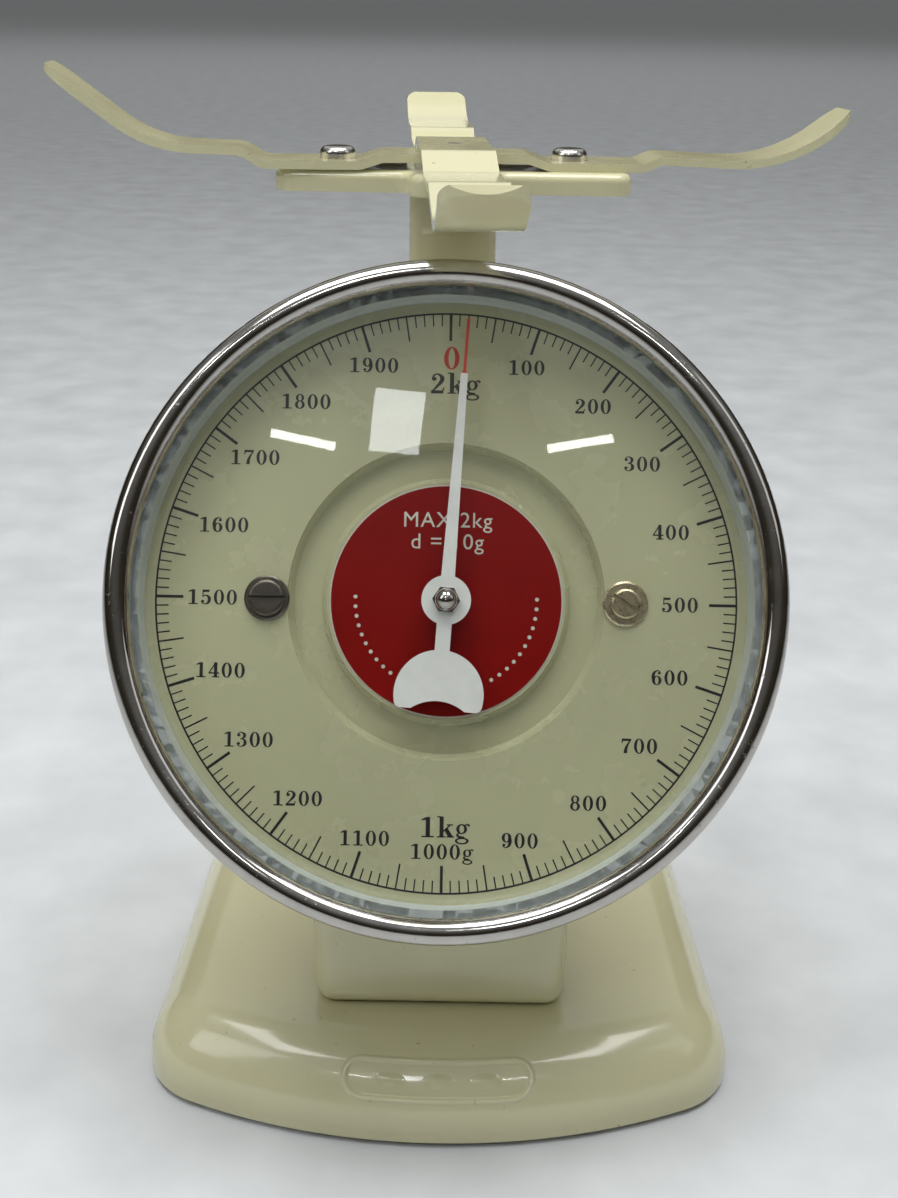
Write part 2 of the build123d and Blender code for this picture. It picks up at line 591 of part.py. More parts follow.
def make_zero_adjuster():
    front, rear = HANGER_BAR_Y
    bar = block(-26.5, 26.5, front, rear, 154, 166)
    bar = fillet(bar.edges().filter_by(Axis.Y), 3)
    lug = block(-6, 6, front, 21.2, 162, 166) + drum(4.4, 158, 166, y=KNOB_Y)
    hanger = bar + lug - drum(2 + RUNNING, 150, 170, y=KNOB_Y)
    pegs = []
    for x in (-SPRING_X, SPRING_X):
        hanger -= rod_y(PEG_RADIUS, 0, 20, x, HANGER_PEG_Z)
        pegs.append(spring_peg(x, HANGER_PEG_Z, rear))

    inner = BODY_HALF - SHEET
    rail = block(24.4, inner, 5.7, 13.3, 151, 169) - block(24, 26.8, front - 0.3, rear + 0.3, 150, 170)
    rails = Compound([rail, mirror(rail, Plane.YZ)])

    knob = drum(5.2, BODY_TOP + 0.5, BODY_TOP + 7.5, y=KNOB_Y)
    knob = chamfer(knob.edges(), 0.5)
    ridges = 30
    for k in range(ridges):
        turn = radians(360 * k / ridges)
        knob -= drum(0.25, BODY_TOP, BODY_TOP + 8, x=5.25 * cos(turn), y=KNOB_Y + 5.25 * sin(turn))
    knob -= drum(2, BODY_TOP, BODY_TOP + 5, y=KNOB_Y)
    stud = drum(2, 155, BODY_TOP + 5, y=KNOB_Y)
    stud = chamfer(stud.edges().sort_by(Axis.Z)[0], 0.4)
    clip = turned((1.6, 0), (4.0, 0), (4.0, 0.8), (1.6, 0.8))
    clip = Pos(0, KNOB_Y, BODY_TOP - SHEET - 1.2) * clip
    stud -= clip
    return {
        "spring_hanger": hanger,
        "hanger_pegs": Compound(pegs),
        "hanger_rails": rails,
        "zero_knob": knob,
        "zero_stud": stud,
        "zero_clip": clip,
    }


# ---------------------------------------------------------------- platform: plate, arms, screws
def sheet_profile(x, z, moves, thickness):
    """Closed XZ outline of a bent strip that starts level at (x, z).

    Each move is ("run", length) or ("bend", radius, degrees), positive bends up.
    z is the strip's lower face; the upper face lies thickness above it.
    """
    low, high = [], []
    heading = 0.0
    foot = Vector(x, z)
    for move in moves:
        ahead = Vector(cos(radians(heading)), sin(radians(heading)))
        up = Vector(-ahead.Y, ahead.X)
        if move[0] == "run":
            end = foot + ahead * move[1]
            low.append(Line(foot, end))
            high.append(Line(foot + up * thickness, end + up * thickness))
        else:
            radius, turn = move[1], move[2]
            sign = 1 if turn > 0 else -1
            centre = foot + up * (sign * radius + (thickness if sign > 0 else 0))

            def on_arc(offset_up, share):
                spoke = (foot + up * offset_up - centre).rotate(Axis.Z, turn * share)
                return centre + spoke

            low.append(ThreePointArc(on_arc(0, 0), on_arc(0, 0.5), on_arc(0, 1)))
            high.append(ThreePointArc(on_arc(thickness, 0), on_arc(thickness, 0.5), on_arc(thickness, 1)))
            end = on_arc(0, 1)
            heading += turn
        foot = end
    first = Line(low[0] @ 0, high[0] @ 0)
    last = Line(low[-1] @ 1, high[-1] @ 1)
    return make_face([first, *low, last, *high])


def spider_arm(hump, flat, joggle_rise, run_out, droop, curl_radius, curl, tip_run, tip_corner=3.5):
    """One arm, from the middle out along +X.

    From the raised middle it drops onto the plate, lies flat, steps up by joggle_rise,
    runs out at the droop's slope and ends in an upward curl.
    """
    slope = 18.0
    bend = 3.0
    fall = hump - 2 * bend_rise(bend, slope)
    joggle = 28.0
    joggle_bend = 4.0
    climb = joggle_rise - 2 * bend_rise(joggle_bend, joggle)
    moves = [
        ("run", 15.5),
        ("bend", bend, -slope),
        ("run", fall / sin(radians(slope))),
        ("bend", bend, slope),
        ("run", flat - hump),
        ("bend", joggle_bend, joggle + droop),
        ("run", climb / sin(radians(joggle))),
        ("bend", joggle_bend, -joggle),
        ("run", run_out),
        ("bend", curl_radius, curl),
        ("run", tip_run),
    ]
    face = sheet_profile(0, PLATE_TOP + hump, moves, STRAP_SHEET)
    arm = extrude(Plane.XZ * face, amount=STRAP_WIDTH / 2, both=True)
    reach = arm.bounding_box().max.X
    plan = Pos(reach - 20) * Circle(20) & Rectangle(4 * reach, STRAP_WIDTH)
    corners = plan.vertices().sort_by(Axis.X)[-2:]
    plan = fillet(corners, tip_corner)
    plan += Pos(reach / 2 - 15) * Rectangle(reach - 10, STRAP_WIDTH)
    return arm & Pos(0, 0, 150) * extrude(plan, amount=120)


def bend_rise(radius, angle):
    """Height that the neutral line of a strap changes over one bend."""
    return (radius + STRAP_SHEET / 2) * (1 - cos(radians(angle)))


def make_platform():
    half_long = 39.5
    wide = 19.0
    reach = 17.0
    end_corner = 4.0
    inner_corner = 3.4
    plan = Rectangle(2 * half_long, wide) + Rectangle(wide, 2 * reach)
    outer = plan.vertices().filter_by(lambda v: abs(v.X) > 20 or abs(v.Y) > 12)
    plan = fillet(outer, end_corner)
    notches = plan.vertices().filter_by(lambda v: abs(v.X) < 10 and abs(v.Y) < 10)
    plan = fillet(notches, inner_corner)
    plate = Pos(0, 0, PLATE_TOP - PLATE_RIM) * extrude(plan, amount=PLATE_RIM)
    plate = fillet(plate.faces().sort_by(Axis.Z)[-1].edges(), 1.9)
    under = Pos(0, 0, PLATE_TOP - PLATE_RIM - 1)
    hollow = under * extrude(offset(plan, -PLATE_SHEET), amount=PLATE_RIM + 1 - PLATE_SHEET)
    hollow = fillet(hollow.faces().sort_by(Axis.Z)[-1].edges(), 0.7)
    plate -= hollow
    plate -= drum(2, PLATE_TOP - 5, PLATE_TOP + 1)

    # The four arms have been bent by use, so each one has its own curve.
    right = spider_arm(HUMP_RISE, flat=20.9, joggle_rise=1.9, run_out=14.5, droop=-2.4,
                       curl_radius=33.0, curl=42.0, tip_run=5.0, tip_corner=6.5)
    left = spider_arm(HUMP_RISE, flat=20.9, joggle_rise=2.6, run_out=9.5, droop=1.8,
                      curl_radius=28.0, curl=35.0, tip_run=18.0, tip_corner=6.5)
    side = right + mirror(left, Plane.YZ)
    fore = spider_arm(HUMP_RISE + STRAP_SHEET, flat=22.5, joggle_rise=2.0, run_out=17.0, droop=-12.0,
                      curl_radius=22.0, curl=48.0, tip_run=7.0)
    aft = spider_arm(HUMP_RISE + STRAP_SHEET, flat=22.5, joggle_rise=2.6, run_out=15.0, droop=-1.0,
                     curl_radius=36.0, curl=31.0, tip_run=3.5)
    long_strap = Rot(0, 0, -90) * fore + Rot(0, 0, 90) * aft
    twist = Rot(0, 0, SPIDER_TWIST)
    rivet_top = PLATE_TOP + HUMP_RISE + 2 * STRAP_SHEET

    strap_screws = []
    strap_nuts = []
    for x in (-STRAP_SCREW_X, STRAP_SCREW_X):
        side -= drum(2, PLATE_TOP - 1, PLATE_TOP + 5, x=x)
        plate -= twist * drum(2, PLATE_TOP - 5, PLATE_TOP + 1, x=x)
        place = Pos(x, 0, PLATE_TOP + STRAP_SHEET)
        strap_screws.append(place * screw(4.0, 2.6, 2, 6.2))
        nut = extrude(RegularPolygon(3.9, 6), amount=2.4) - drum(2, -1, 4)
        strap_nuts.append(Pos(x, 0, PLATE_TOP - PLATE_SHEET - 2.4) * nut)
    hub_screw = Pos(0, 0, PLATE_TOP) * (drum(4, 0, 1.3) + drum(2, -8, 0))
    rivet_r = 1.6
    side -= drum(rivet_r, PLATE_TOP + 1.4, rivet_top + 1)
    long_strap -= drum(rivet_r, PLATE_TOP + 1.4, rivet_top + 1)
    rivet = drum(rivet_r, PLATE_TOP + HUMP_RISE, rivet_top)
    return {
        "cross_plate": plate,
        "side_strap": twist * side,
        "fore_aft_strap": twist * long_strap,
        "strap_rivet": rivet,
        "strap_screws": twist * Compound(strap_screws),
        "strap_nuts": twist * Compound(strap_nuts),
        "hub_screw": hub_screw,
    }


# ---------------------------------------------------------------- whole object
def in_dial_frame(parts):
    return {name: dial_frame * shape for name, shape in parts.items()}


def make_all():
    parts = {}
    parts.update(make_base())
    parts.update(make_body())
    parts.update(in_dial_frame(make_case()))
    parts.update(in_dial_frame(make_dial()))
    parts.update(in_dial_frame(make_glazing()))
    parts.update(in_dial_frame(make_pointer()))
    parts.update(make_movement())
    parts.update(make_stem())
    parts.update(make_guides())
    parts.update(make_springs())
    parts.update(make_zero_adjuster())
    parts.update(make_platform())
    return parts


os.makedirs("parts", exist_ok=True)
for name, shape in make_all().items():
    export_step(shape, f"parts/{name}.step")
print(f"platform travel per turn {TRAVEL:.4f} mm, up to zero {TRAVEL_UP:.4f} mm")
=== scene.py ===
import json
from math import cos, exp, hypot, pi, radians, sin

import bmesh
import bpy
from mathutils import Matrix, Vector
from mathutils.bvhtree import BVHTree


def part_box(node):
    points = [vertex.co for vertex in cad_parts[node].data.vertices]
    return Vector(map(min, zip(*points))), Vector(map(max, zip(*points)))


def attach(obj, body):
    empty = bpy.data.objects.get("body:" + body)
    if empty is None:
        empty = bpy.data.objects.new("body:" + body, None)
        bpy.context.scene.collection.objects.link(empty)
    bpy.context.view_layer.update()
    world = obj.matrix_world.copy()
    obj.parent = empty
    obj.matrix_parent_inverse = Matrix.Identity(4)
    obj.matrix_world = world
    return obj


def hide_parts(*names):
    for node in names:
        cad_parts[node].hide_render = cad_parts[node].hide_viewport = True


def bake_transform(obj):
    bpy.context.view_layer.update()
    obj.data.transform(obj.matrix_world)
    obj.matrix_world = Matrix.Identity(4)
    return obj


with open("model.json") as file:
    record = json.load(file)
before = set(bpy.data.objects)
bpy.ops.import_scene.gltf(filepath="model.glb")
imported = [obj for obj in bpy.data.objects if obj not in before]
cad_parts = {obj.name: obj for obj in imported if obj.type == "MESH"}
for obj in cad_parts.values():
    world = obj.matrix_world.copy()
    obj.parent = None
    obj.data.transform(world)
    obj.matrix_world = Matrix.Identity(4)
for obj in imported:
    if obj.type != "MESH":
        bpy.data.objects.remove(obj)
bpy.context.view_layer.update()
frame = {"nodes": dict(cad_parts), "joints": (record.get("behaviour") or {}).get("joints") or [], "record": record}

MM = 0.001

# ---------------------------------------------------------------- places read from the frame
turn = next(j for j in frame["joints"] if j["name"] == "pointer_turn")
DIAL_CENTRE = Vector(turn["pos_m"])
DIAL_FACE = -Vector(turn["axis"]).normalized()          # towards the reader
DIAL_RIGHT = Vector((1, 0, 0))
DIAL_UP = DIAL_FACE.cross(DIAL_RIGHT).normalized()
DIAL = Matrix((
    (DIAL_RIGHT.x, DIAL_UP.x, DIAL_FACE.x, DIAL_CENTRE.x),
    (DIAL_RIGHT.y, DIAL_UP.y, DIAL_FACE.y, DIAL_CENTRE.y),
    (DIAL_RIGHT.z, DIAL_UP.z, DIAL_FACE.z, DIAL_CENTRE.z),
    (0, 0, 0, 1),
))

# ---------------------------------------------------------------- dial print, in millimetres
TICK_OUTER = 62.7
TICK_10_G = 2.7
TICK_50_G = 5.5
TICK_100_G = 5.9
INK_HEIGHT = 0.04
DIGIT_HEIGHT = 3.2
DISC_RADIUS = 24.9
POINTER_RED_FROM = 49.2
SPRING_LOOP = 6.0               # height of the end loops, which don't stretch


# ---------------------------------------------------------------- camera
CAMERA_PLACE = (0.0006, -0.3512, 0.245)
CAMERA_PITCH_DOWN = 22.0        # degrees
CAMERA_ROLL = 1.0               # degrees
CAMERA_LENS = 60.45             # millimetres, on a sensor 36 wide

# ---------------------------------------------------------------- colours, linear
CREAM = (0.67, 0.64, 0.40)
SPECK_BROWN = (0.30, 0.20, 0.10)
PIT_BROWN = (0.16, 0.12, 0.08)
POINTER_RED = (0.55, 0.04, 0.03)


# ---------------------------------------------------------------- material building
def new_material(name):
    material = bpy.data.materials.new(name)
    material.use_nodes = True
    tree = material.node_tree
    tree.nodes.clear()
    output = tree.nodes.new("ShaderNodeOutputMaterial")
    shader = tree.nodes.new("ShaderNodeBsdfPrincipled")
    tree.links.new(shader.outputs[0], output.inputs[0])
    return material, tree, shader


def object_noise(tree, scale, detail=3.0, roughness=0.55):
    """Noise fixed to the piece, in noise cells per metre."""
    place = tree.nodes.new("ShaderNodeTexCoord")
    noise = tree.nodes.new("ShaderNodeTexNoise")
    noise.inputs["Scale"].default_value = scale
    noise.inputs["Detail"].default_value = detail
    noise.inputs["Roughness"].default_value = roughness
    tree.links.new(place.outputs["Object"], noise.inputs["Vector"])
    return noise


def ramp(tree, source, stops):
    """Colour ramp fed by source; stops are (position, colour)."""
    node = tree.nodes.new("ShaderNodeValToRGB")
    elements = node.color_ramp.elements
    while len(elements) < len(stops):
        elements.new(0.5)
    for element, (position, colour) in zip(elements, stops):
        element.position = position
        element.color = (*colour, 1)
    tree.links.new(source, node.inputs[0])
    return node


def grey(value):
    return (value, value, value)


def add_bump(tree, shader, height, distance, strength=1.0):
    bump = tree.nodes.new("ShaderNodeBump")
    bump.inputs["Distance"].default_value = distance
    bump.inputs["Strength"].default_value = strength
    tree.links.new(height, bump.inputs["Height"])
    tree.links.new(bump.outputs[0], shader.inputs["Normal"])


def mix_colours(tree, factor, source, colour):
    """Socket that goes from the source socket to a flat colour as factor goes from 0 to 1."""
    mix = tree.nodes.new("ShaderNodeMix")
    mix.data_type = "RGBA"
    tree.links.new(factor, mix.inputs["Factor"])
    tree.links.new(source, mix.inputs[6])
    mix.inputs[7].default_value = (*colour, 1)
    return mix.outputs[2]


def shade(colour, factor):
    return tuple(min(1.0, c * factor) for c in colour)


def enamel(name, colour, roughness=0.16, specks=0.0):
    """Stove enamel: deep gloss, a faint orange peel, cloudy tone and a few brown specks."""
    material, tree, shader = new_material(name)
    cloud = object_noise(tree, 16, 2)
    tone = ramp(tree, cloud.outputs["Fac"], [(0.3, shade(colour, 0.93)), (0.7, shade(colour, 1.04))])
    colour_out = tone.outputs[0]
    if specks:
        dust = object_noise(tree, 420, 2)
        spots = ramp(tree, dust.outputs["Fac"], [(0.0, grey(0)), (0.73, grey(0)), (0.78, grey(specks))])
        colour_out = mix_colours(tree, spots.outputs[0], colour_out, SPECK_BROWN)
    tree.links.new(colour_out, shader.inputs["Base Color"])
    wear = object_noise(tree, 90, 4)
    gloss = ramp(tree, wear.outputs["Fac"], [(0.35, grey(roughness)), (0.75, grey(roughness + 0.10))])
    tree.links.new(gloss.outputs[0], shader.inputs["Roughness"])
    shader.inputs["Coat Weight"].default_value = 0.55
    shader.inputs["Coat Roughness"].default_value = 0.04
    peel = object_noise(tree, 260, 1)
    add_bump(tree, shader, peel.outputs["Fac"], 0.00012, 0.35)
    return material


def metal(name, colour, roughness, pits=0.0, grain=900, bump=0.00002):
    """Metal with a cloudy polish; pits adds small dull spots such as rust under plating."""
    material, tree, shader = new_material(name)
    shader.inputs["Metallic"].default_value = 1.0
    fine = object_noise(tree, grain, 4, 0.65)
    tone = ramp(tree, fine.outputs["Fac"], [(0.3, shade(colour, 0.88)), (0.7, shade(colour, 1.06))])
    colour_out = tone.outputs[0]
    gloss = ramp(tree, fine.outputs["Fac"], [(0.3, grey(roughness)), (0.8, grey(roughness + 0.12))])
    if pits:
        spot = object_noise(tree, 620, 5, 0.7)
        mask = ramp(tree, spot.outputs["Fac"], [(0.0, grey(0)), (0.62, grey(0)), (0.70, grey(pits))])
        colour_out = mix_colours(tree, mask.outputs[0], colour_out, PIT_BROWN)
        add = tree.nodes.new("ShaderNodeMath")
        add.operation = "ADD"
        tree.links.new(gloss.outputs[0], add.inputs[0])
        tree.links.new(mask.outputs[0], add.inputs[1])
        tree.links.new(add.outputs[0], shader.inputs["Roughness"])
    else:
        tree.links.new(gloss.outputs[0], shader.inputs["Roughness"])
    tree.links.new(colour_out, shader.inputs["Base Color"])
    add_bump(tree, shader, fine.outputs["Fac"], bump, 0.5)
    return material


def plain(name, colour, roughness, grain=400, bump=0.00003):
    """Plastic, rubber, paint or ink: slight tone and gloss variation with a fine grain."""
    material, tree, shader = new_material(name)
    fine = object_noise(tree, grain, 3)
    tone = ramp(tree, fine.outputs["Fac"], [(0.3, shade(colour, 0.90)), (0.7, shade(colour, 1.05))])
    gloss = ramp(tree, fine.outputs["Fac"], [(0.3, grey(roughness)), (0.8, grey(roughness + 0.12))])
    tree.links.new(tone.outputs[0], shader.inputs["Base Color"])
    tree.links.new(gloss.outputs[0], shader.inputs["Roughness"])
    add_bump(tree, shader, fine.outputs["Fac"], bump, 0.5)
    return material


def pointer_paint(name):
    """White pointer with a red end: the paint changes at a set distance from the pivot."""
    material, tree, shader = new_material(name)
    place = tree.nodes.new("ShaderNodeTexCoord")
    reach = tree.nodes.new("ShaderNodeVectorMath")
    reach.operation = "DISTANCE"
    reach.inputs[1].default_value = DIAL_CENTRE
    tree.links.new(place.outputs["Object"], reach.inputs[0])
    past = tree.nodes.new("ShaderNodeMath")
    past.operation = "GREATER_THAN"
    past.inputs[1].default_value = POINTER_RED_FROM * MM
    tree.links.new(reach.outputs["Value"], past.inputs[0])
    fine = object_noise(tree, 300, 3)
    white = ramp(tree, fine.outputs["Fac"], [(0.3, (0.74, 0.73, 0.70)), (0.7, (0.80, 0.79, 0.76))])
    painted = mix_colours(tree, past.outputs[0], white.outputs[0], POINTER_RED)
    tree.links.new(painted, shader.inputs["Base Color"])
    gloss = ramp(tree, fine.outputs["Fac"], [(0.3, grey(0.38)), (0.8, grey(0.5))])
    tree.links.new(gloss.outputs[0], shader.inputs["Roughness"])
    return material


LENS_MIRROR_HEAD_ON = 0.02
LENS_MIRROR_GLANCING = 0.80


def clear_lens(name):
    """Clear moulded dome: see-through straight on, mirror-like at a glancing angle."""
    material = bpy.data.materials.new(name)
    material.use_nodes = True
    tree = material.node_tree
    tree.nodes.clear()
    output = tree.nodes.new("ShaderNodeOutputMaterial")
    blend = tree.nodes.new("ShaderNodeMixShader")
    clear = tree.nodes.new("ShaderNodeBsdfTransparent")
    gloss = tree.nodes.new("ShaderNodeBsdfGlossy")
    facing = tree.nodes.new("ShaderNodeLayerWeight")
    grazing = tree.nodes.new("ShaderNodeMath")
    mirror = tree.nodes.new("ShaderNodeMath")
    clear.inputs["Color"].default_value = (0.98, 0.99, 0.985, 1)
    gloss.inputs["Roughness"].default_value = 0.02
    facing.inputs["Blend"].default_value = 0.5
    grazing.operation = "POWER"
    grazing.inputs[1].default_value = 5.0
    mirror.operation = "MULTIPLY_ADD"
    mirror.inputs[1].default_value = LENS_MIRROR_GLANCING
    mirror.inputs[2].default_value = LENS_MIRROR_HEAD_ON
    tree.links.new(facing.outputs["Facing"], grazing.inputs[0])
    tree.links.new(grazing.outputs[0], mirror.inputs[0])
    tree.links.new(mirror.outputs[0], blend.inputs[0])
    tree.links.new(clear.outputs[0], blend.inputs[1])
    tree.links.new(gloss.outputs[0], blend.inputs[2])
    tree.links.new(blend.outputs[0], output.inputs[0])
    return material


MATERIALS = {
    "enamel": enamel("cream_enamel", CREAM, specks=0.5),
    # painted shade: the dial is the same cream enamel as the body, coloured darker to stand for the shade under
    # the glass and inside the case
    "dial_enamel": enamel("dial_enamel", (0.49, 0.475, 0.30), roughness=0.22),
    "red_print": plain("red_print", (0.22, 0.004, 0.003), 0.34, grain=60, bump=0.000002),
    "chrome": metal("pitted_chrome", (0.50, 0.48, 0.45), 0.05, pits=0.30, grain=160, bump=0.00001),
    "lens": clear_lens("clear_lens"),
    "spacer": plain("pale_spacer", (0.62, 0.66, 0.65), 0.35),
    "pointer_white": pointer_paint("pointer_paint"),
    "brass": metal("turned_brass", (0.66, 0.56, 0.38), 0.24, pits=0.15),
    "bright_steel": metal("zinc_steel", (0.60, 0.60, 0.61), 0.28),
    # steel in a dark colour with dull pits, far darker than the bright steel
    "dark_steel": metal("dark_steel_colour", (0.16, 0.14, 0.12), 0.30, pits=0.2),
    "nickel": metal("nickel_plate", (0.62, 0.60, 0.57), 0.18, pits=0.25),
    "spring_steel": metal("spring_wire", (0.45, 0.45, 0.47), 0.30),
    "nylon": plain("natural_nylon", (0.74, 0.72, 0.66), 0.42),
    "rubber": plain("black_rubber", (0.028, 0.028, 0.028), 0.70, grain=700, bump=0.00008),
}
# The red print lies under the lens and has next to no gloss of its own.
MATERIALS["red_print"].node_tree.nodes["Principled BSDF"].inputs["Specular IOR Level"].default_value = 0.08
INK_BLACK = plain("black_ink", (0.018, 0.018, 0.020), 0.35, grain=500, bump=0.000005)
INK_RED = plain("red_ink", (0.48, 0.030, 0.018), 0.35, grain=500, bump=0.000005)
INK_PALE = plain("pale_ink", (0.62, 0.60, 0.50), 0.35, grain=500, bump=0.000005)

for part in frame["record"]["subparts"]:
    mesh = frame["nodes"][part["node"]].data
    mesh.materials.clear()
    mesh.materials.append(MATERIALS[part["material_slot"]])


# ---------------------------------------------------------------- mesh helpers
def add_piece(name, verts, faces, material, body, smooth=False):
    """A new mesh object from points in metres, riding on a body of the frame."""
    mesh = bpy.data.meshes.new(name)
    mesh.from_pydata([tuple(v) for v in verts], [], faces)
    mesh.materials.append(material)
    if smooth:
        mesh.shade_smooth()
    mesh.update()
    piece = bpy.data.objects.new(name, mesh)
    bpy.context.scene.collection.objects.link(piece)
    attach(piece, body)
    return piece


def smooth_line(knots, steps=6):
    """Points on a smooth curve through the knots, whatever their number of values."""
    ends = [knots[0], *knots, knots[-1]]
    points = []
    for a, b, c, d in zip(ends, ends[1:], ends[2:], ends[3:]):
        for i in range(steps):
            t = i / steps
            points.append(tuple(
                0.5 * (2 * q + (r - p) * t + (2 * p - 5 * q + 4 * r - s) * t ** 2
                       + (3 * q - p - 3 * r + s) * t ** 3)
                for p, q, r, s in zip(a, b, c, d)))
    points.append(tuple(knots[-1]))
    return points


class Ink:
    """Flat print on the dial, gathered in the dial's own millimetres."""

    def __init__(self):
        self.verts = []
        self.faces = []

    def polygon(self, points):
        start = len(self.verts)
        self.verts += points
        self.faces.append(tuple(range(start, start + len(points))))

    def band(self, outer, inner, closed=False):
        """Quads between two lines of points."""
        start = len(self.verts)
        count = len(outer)
        self.verts += outer + inner
        for i in range(count if closed else count - 1):
            j = (i + 1) % count
            self.faces.append((start + i, start + j, start + count + j, start + count + i))

    def ring(self, cx, cy, rx, ry, hole_rx, hole_ry, count=40):
        turns = [2 * pi * i / count for i in range(count)]
        outer = [(cx + rx * cos(a), cy + ry * sin(a)) for a in turns]
        inner = [(cx + hole_rx * cos(a), cy + hole_ry * sin(a)) for a in turns]
        self.band(outer, inner, closed=True)

    def stroke(self, *knots):
        """A pen stroke through (x, y, width) knots."""
        line = smooth_line(knots) if len(knots) > 2 else list(knots)
        left, right = [], []
        for i, (x, y, width) in enumerate(line):
            ahead = line[min(i + 1, len(line) - 1)]
            back = line[max(i - 1, 0)]
            dx, dy = ahead[0] - back[0], ahead[1] - back[1]
            size = hypot(dx, dy) or 1.0
            nx, ny = -dy / size * width / 2, dx / size * width / 2
            left.append((x + nx, y + ny))
            right.append((x - nx, y - ny))
        self.band(left, right)

    def ball(self, x, y, radius):
        turns = [2 * pi * i / 20 for i in range(20)]
        self.polygon([(x + radius * cos(a), y + radius * sin(a)) for a in turns])

    def bar(self, x0, x1, y0, y1):
        self.polygon([(x0, y0), (x1, y0), (x1, y1), (x0, y1)])

    def place(self, other, scale_x, scale_y, x, y):
        """Adds another print, scaled and moved."""
        start = len(self.verts)
        self.verts += [(x + scale_x * px, y + scale_y * py) for px, py in other.verts]
        self.faces += [tuple(start + i for i in face) for face in other.faces]

    def piece(self, name, material, body, slot, height=INK_HEIGHT):
        verts = [DIAL @ Vector((x * MM, y * MM, height * MM)) for x, y in self.verts]
        return add_piece(name, verts, self.faces, material, body)


# ---------------------------------------------------------------- numerals, on a cap height of 1
GLYPH_WIDTH = 0.66
GLYPH_STEP = 0.73
GLYPH_STRETCH = 1.19           # the dial's numerals are broad for their height


def glyph_0(ink):
    ink.ring(0.33, 0.5, 0.29, 0.51, 0.12, 0.45)


def glyph_1(ink):
    ink.bar(0.25, 0.43, 0.03, 1.0)
    ink.polygon([(0.26, 1.0), (0.07, 0.89), (0.07, 0.83), (0.26, 0.86)])
    ink.bar(0.08, 0.60, 0.0, 0.07)


def glyph_2(ink):
    ink.ball(0.17, 0.73, 0.10)
    ink.stroke((0.10, 0.74, 0.06), (0.17, 0.91, 0.07), (0.34, 0.965, 0.08), (0.50, 0.80, 0.17),
               (0.47, 0.60, 0.17), (0.30, 0.36, 0.11), (0.08, 0.09, 0.06))
    ink.bar(0.05, 0.56, 0.0, 0.16)
    ink.polygon([(0.48, 0.10), (0.56, 0.10), (0.61, 0.31), (0.56, 0.31)])


def glyph_3(ink):
    ink.ball(0.15, 0.78, 0.09)
    ink.stroke((0.08, 0.80, 0.05), (0.15, 0.92, 0.06), (0.31, 0.97, 0.07), (0.46, 0.86, 0.15),
               (0.47, 0.69, 0.15), (0.37, 0.56, 0.09), (0.24, 0.53, 0.06))
    ink.stroke((0.24, 0.535, 0.06), (0.42, 0.50, 0.09), (0.51, 0.35, 0.17), (0.49, 0.16, 0.17),
               (0.33, 0.03, 0.07), (0.15, 0.06, 0.06), (0.07, 0.20, 0.05))
    ink.ball(0.14, 0.22, 0.095)


def glyph_4(ink):
    ink.stroke((0.42, 0.98, 0.07), (0.06, 0.30, 0.07))
    ink.bar(0.03, 0.64, 0.25, 0.34)
    ink.bar(0.34, 0.52, 0.03, 1.0)
    ink.bar(0.22, 0.64, 0.0, 0.07)


def glyph_5(ink):
    ink.polygon([(0.14, 0.99), (0.54, 0.99), (0.50, 0.83), (0.14, 0.83)])
    ink.bar(0.12, 0.18, 0.50, 0.99)
    ink.stroke((0.14, 0.52, 0.06), (0.30, 0.61, 0.08), (0.47, 0.51, 0.16), (0.52, 0.32, 0.18),
               (0.45, 0.11, 0.15), (0.29, 0.03, 0.07), (0.13, 0.07, 0.06), (0.08, 0.19, 0.05))
    ink.ball(0.14, 0.20, 0.095)


def glyph_6(ink):
    ink.ring(0.34, 0.31, 0.27, 0.32, 0.10, 0.26)
    ink.stroke((0.54, 0.82, 0.05), (0.48, 0.93, 0.06), (0.37, 0.97, 0.07), (0.20, 0.84, 0.14),
               (0.13, 0.58, 0.18), (0.15, 0.33, 0.17))
    ink.ball(0.48, 0.80, 0.085)


def glyph_7(ink):
    ink.bar(0.08, 0.61, 0.84, 0.99)
    ink.polygon([(0.07, 0.68), (0.12, 0.68), (0.16, 0.86), (0.08, 0.99)])
    ink.stroke((0.58, 0.90, 0.06), (0.42, 0.60, 0.11), (0.32, 0.32, 0.17), (0.29, 0.02, 0.20))


def glyph_8(ink):
    ink.ring(0.33, 0.75, 0.235, 0.26, 0.10, 0.20)
    ink.ring(0.33, 0.28, 0.28, 0.29, 0.12, 0.22)


def glyph_k(ink):
    ink.bar(0.10, 0.27, 0.03, 1.04)
    ink.bar(0.00, 0.20, 0.99, 1.05)
    ink.bar(0.00, 0.36, 0.0, 0.06)
    ink.stroke((0.26, 0.30, 0.06), (0.54, 0.62, 0.06))
    ink.bar(0.40, 0.66, 0.60, 0.66)
    ink.polygon([(0.30, 0.36), (0.42, 0.50), (0.68, 0.03), (0.48, 0.0)])
    ink.bar(0.40, 0.72, 0.0, 0.06)


def glyph_g(ink):
    ink.ring(0.30, 0.43, 0.23, 0.25, 0.10, 0.19)
    ink.ring(0.31, -0.16, 0.29, 0.17, 0.19, 0.10)
    ink.stroke((0.20, 0.24, 0.06), (0.11, 0.13, 0.09), (0.20, 0.04, 0.11), (0.42, 0.0, 0.11))
    ink.stroke((0.42, 0.58, 0.05), (0.50, 0.66, 0.06), (0.58, 0.66, 0.06))
    ink.ball(0.59, 0.62, 0.06)


GLYPHS = {
    "0": glyph_0, "1": glyph_1, "2": glyph_2, "3": glyph_3, "4": glyph_4, "5": glyph_5,
    "6": glyph_6, "7": glyph_7, "8": glyph_8, "k": glyph_k, "g": glyph_g,
}


def glyph(character):
    ink = Ink()
    if character == "9":
        six = Ink()
        glyph_6(six)
        ink.place(six, -1.0, -1.0, GLYPH_WIDTH, 1.0)
    else:
        GLYPHS[character](ink)
    return ink


